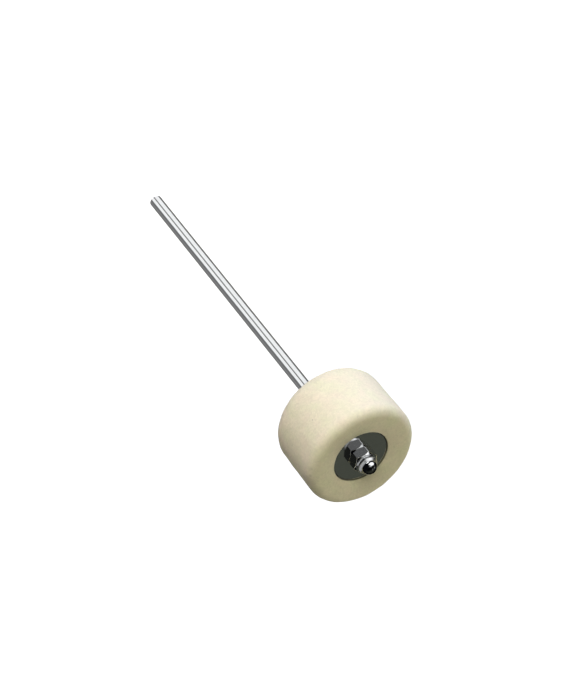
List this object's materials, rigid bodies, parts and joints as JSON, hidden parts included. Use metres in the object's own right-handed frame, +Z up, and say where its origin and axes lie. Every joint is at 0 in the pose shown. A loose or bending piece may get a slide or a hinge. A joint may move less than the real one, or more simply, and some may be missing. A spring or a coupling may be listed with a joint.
{
  "type": "bass drum beater",
  "caption": "Felt-headed beater for a bass drum pedal: a round felt block clamped by washers and a cap nut on a slim chromed shaft, which a pedal hub grips.",
  "frame": {"origin": "on the shaft's axis at the low end of its plain clamping wall, just above the chamfered free end", "axes": "+Z up along the shaft, from its free end to the cap nut, as the beater stands in a pedal; X and Y lie across the shaft"},
  "size_m": [0.0558, 0.0558, 0.2216],
  "materials": {
    "shaft_chrome": "bright chrome plate on drawn rod",
    "washer_chrome": "mirror-polished chrome plate on a stamped washer",
    "nut_chrome": "bright chrome plate",
    "felt": "dense pressed wool felt, cream, with a fine nap"
  },
  "bodies": {
    "shaft": {"shaft": "shaft_chrome"},
    "head": {"felt_head": "felt", "front_washer": "washer_chrome"},
    "cap_dome": {"cap_nut_dome": "nut_chrome"},
    "cap_nut": {"cap_nut": "nut_chrome"},
    "rear_washer": {"rear_washer": "washer_chrome"},
    "rear_nut": {"rear_nut": "nut_chrome"}
  },
  "joints": [
    {"name": "head_turn", "type": "hinge", "parent": "shaft", "child": "head", "pos_m": [0, 0, 0.1922], "axis": [0, 0, 1], "continuous": true},
    {"name": "cap_nut_lift", "type": "slide", "parent": "shaft", "child": "cap_dome", "axis": [0, 0, 1], "range_m": [0, 0.00762]},
    {"name": "cap_nut_turn", "type": "hinge", "parent": "cap_dome", "child": "cap_nut", "pos_m": [0, 0, 0.2121], "axis": [0, 0, 1], "range_deg": [0, 2160]},
    {"name": "rear_washer_drop", "type": "slide", "parent": "shaft", "child": "rear_washer", "axis": [0, 0, 1], "range_m": [-0.00635, 0]},
    {"name": "rear_nut_turn", "type": "hinge", "parent": "rear_washer", "child": "rear_nut", "pos_m": [0, 0, 0.1731], "axis": [0, 0, 1], "range_deg": [-1800, 0]}
  ],
  "couplings": [
    {"joint": "cap_nut_turn", "follows": "cap_nut_lift", "rad_per_m": 4947.4},
    {"joint": "rear_nut_turn", "follows": "rear_washer_drop", "rad_per_m": 4947.4}
  ]
}
